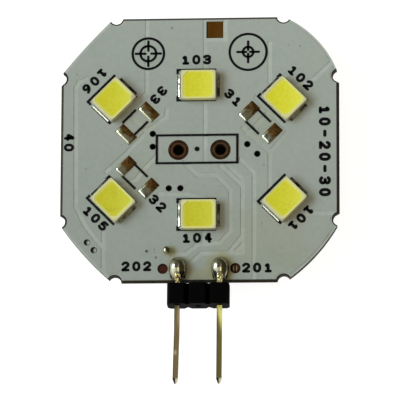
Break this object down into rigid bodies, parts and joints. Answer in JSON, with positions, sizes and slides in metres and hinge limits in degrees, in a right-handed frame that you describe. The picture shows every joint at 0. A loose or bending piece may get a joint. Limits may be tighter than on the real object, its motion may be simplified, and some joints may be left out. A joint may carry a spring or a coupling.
{
  "type": "led module",
  "caption": "Two-pin low-voltage lamp module: LEDs on a scored, notched circuit board with a right-angle pin header on its edge and the driver parts on the back.",
  "frame": {"origin": "midpoint of the two plated holes in the middle of the board, at the front face of the laminate", "axes": "+Z out of the light side, +Y along the board away from the pins, +X to the right when the light side faces the viewer and the pins point down"},
  "size_m": [0.0266, 0.0356, 0.0049],
  "materials": {
    "laminate": "glass-fibre laminate, dark raw edges",
    "copper": "bare copper foil, tarnished",
    "solder_mask": "cured lacquer, satin",
    "legend_ink": "screen-printed ink",
    "led_plastic": "white moulded polyamide",
    "phosphor": "silicone filled with phosphor",
    "tinned_metal": "tin-plated copper",
    "die": "polished crystal",
    "solder": "reflowed solder",
    "header_plastic": "moulded nylon",
    "gilt_pin": "flash gold plating",
    "moulding": "moulded epoxy",
    "ferrite": "sintered ferrite",
    "capacitor_ceramic": "fired ceramic",
    "resistor_ceramic": "ceramic under a dark glaze"
  },
  "bodies": {
    "root": {"circuit_board": "laminate", "front_copper": "copper", "back_copper": "copper", "via_plating": "copper", "front_solder_mask": "solder_mask", "back_solder_mask": "solder_mask", "front_legend": "legend_ink", "led_1_housing": "led_plastic", "led_2_housing": "led_plastic", "led_3_housing": "led_plastic", "led_4_housing": "led_plastic", "led_5_housing": "led_plastic", "led_6_housing": "led_plastic", "led_1_phosphor": "phosphor", "led_2_phosphor": "phosphor", "led_3_phosphor": "phosphor", "led_4_phosphor": "phosphor", "led_5_phosphor": "phosphor", "led_6_phosphor": "phosphor", "led_1_terminals": "tinned_metal", "led_2_terminals": "tinned_metal", "led_3_terminals": "tinned_metal", "led_4_terminals": "tinned_metal", "led_5_terminals": "tinned_metal", "led_6_terminals": "tinned_metal", "led_dies": "die", "led_solder_joints": "solder", "resistor_pad_solder": "solder", "header_housing": "header_plastic", "pin_left": "gilt_pin", "pin_right": "gilt_pin", "pin_left_solder": "solder", "pin_right_solder": "solder", "loose_solder_bead": "solder", "bridge_diode_1_body": "moulding", "bridge_diode_2_body": "moulding", "bridge_diode_3_body": "moulding", "bridge_diode_4_body": "moulding", "bridge_diode_1_leads": "tinned_metal", "bridge_diode_2_leads": "tinned_metal", "bridge_diode_3_leads": "tinned_metal", "bridge_diode_4_leads": "tinned_metal", "freewheel_diode_body": "moulding", "freewheel_diode_leads": "tinned_metal", "inductor_shield": "ferrite", "inductor_core": "ferrite", "inductor_coil": "copper", "inductor_terminals": "tinned_metal", "driver_chip_body": "moulding", "driver_chip_leads": "tinned_metal", "input_capacitor_body": "capacitor_ceramic", "output_capacitor_body": "capacitor_ceramic", "capacitor_end_caps": "tinned_metal", "chip_resistor_bodies": "resistor_ceramic", "chip_resistor_end_caps": "tinned_metal", "back_solder_joints": "solder"}
  },
  "joints": []
}
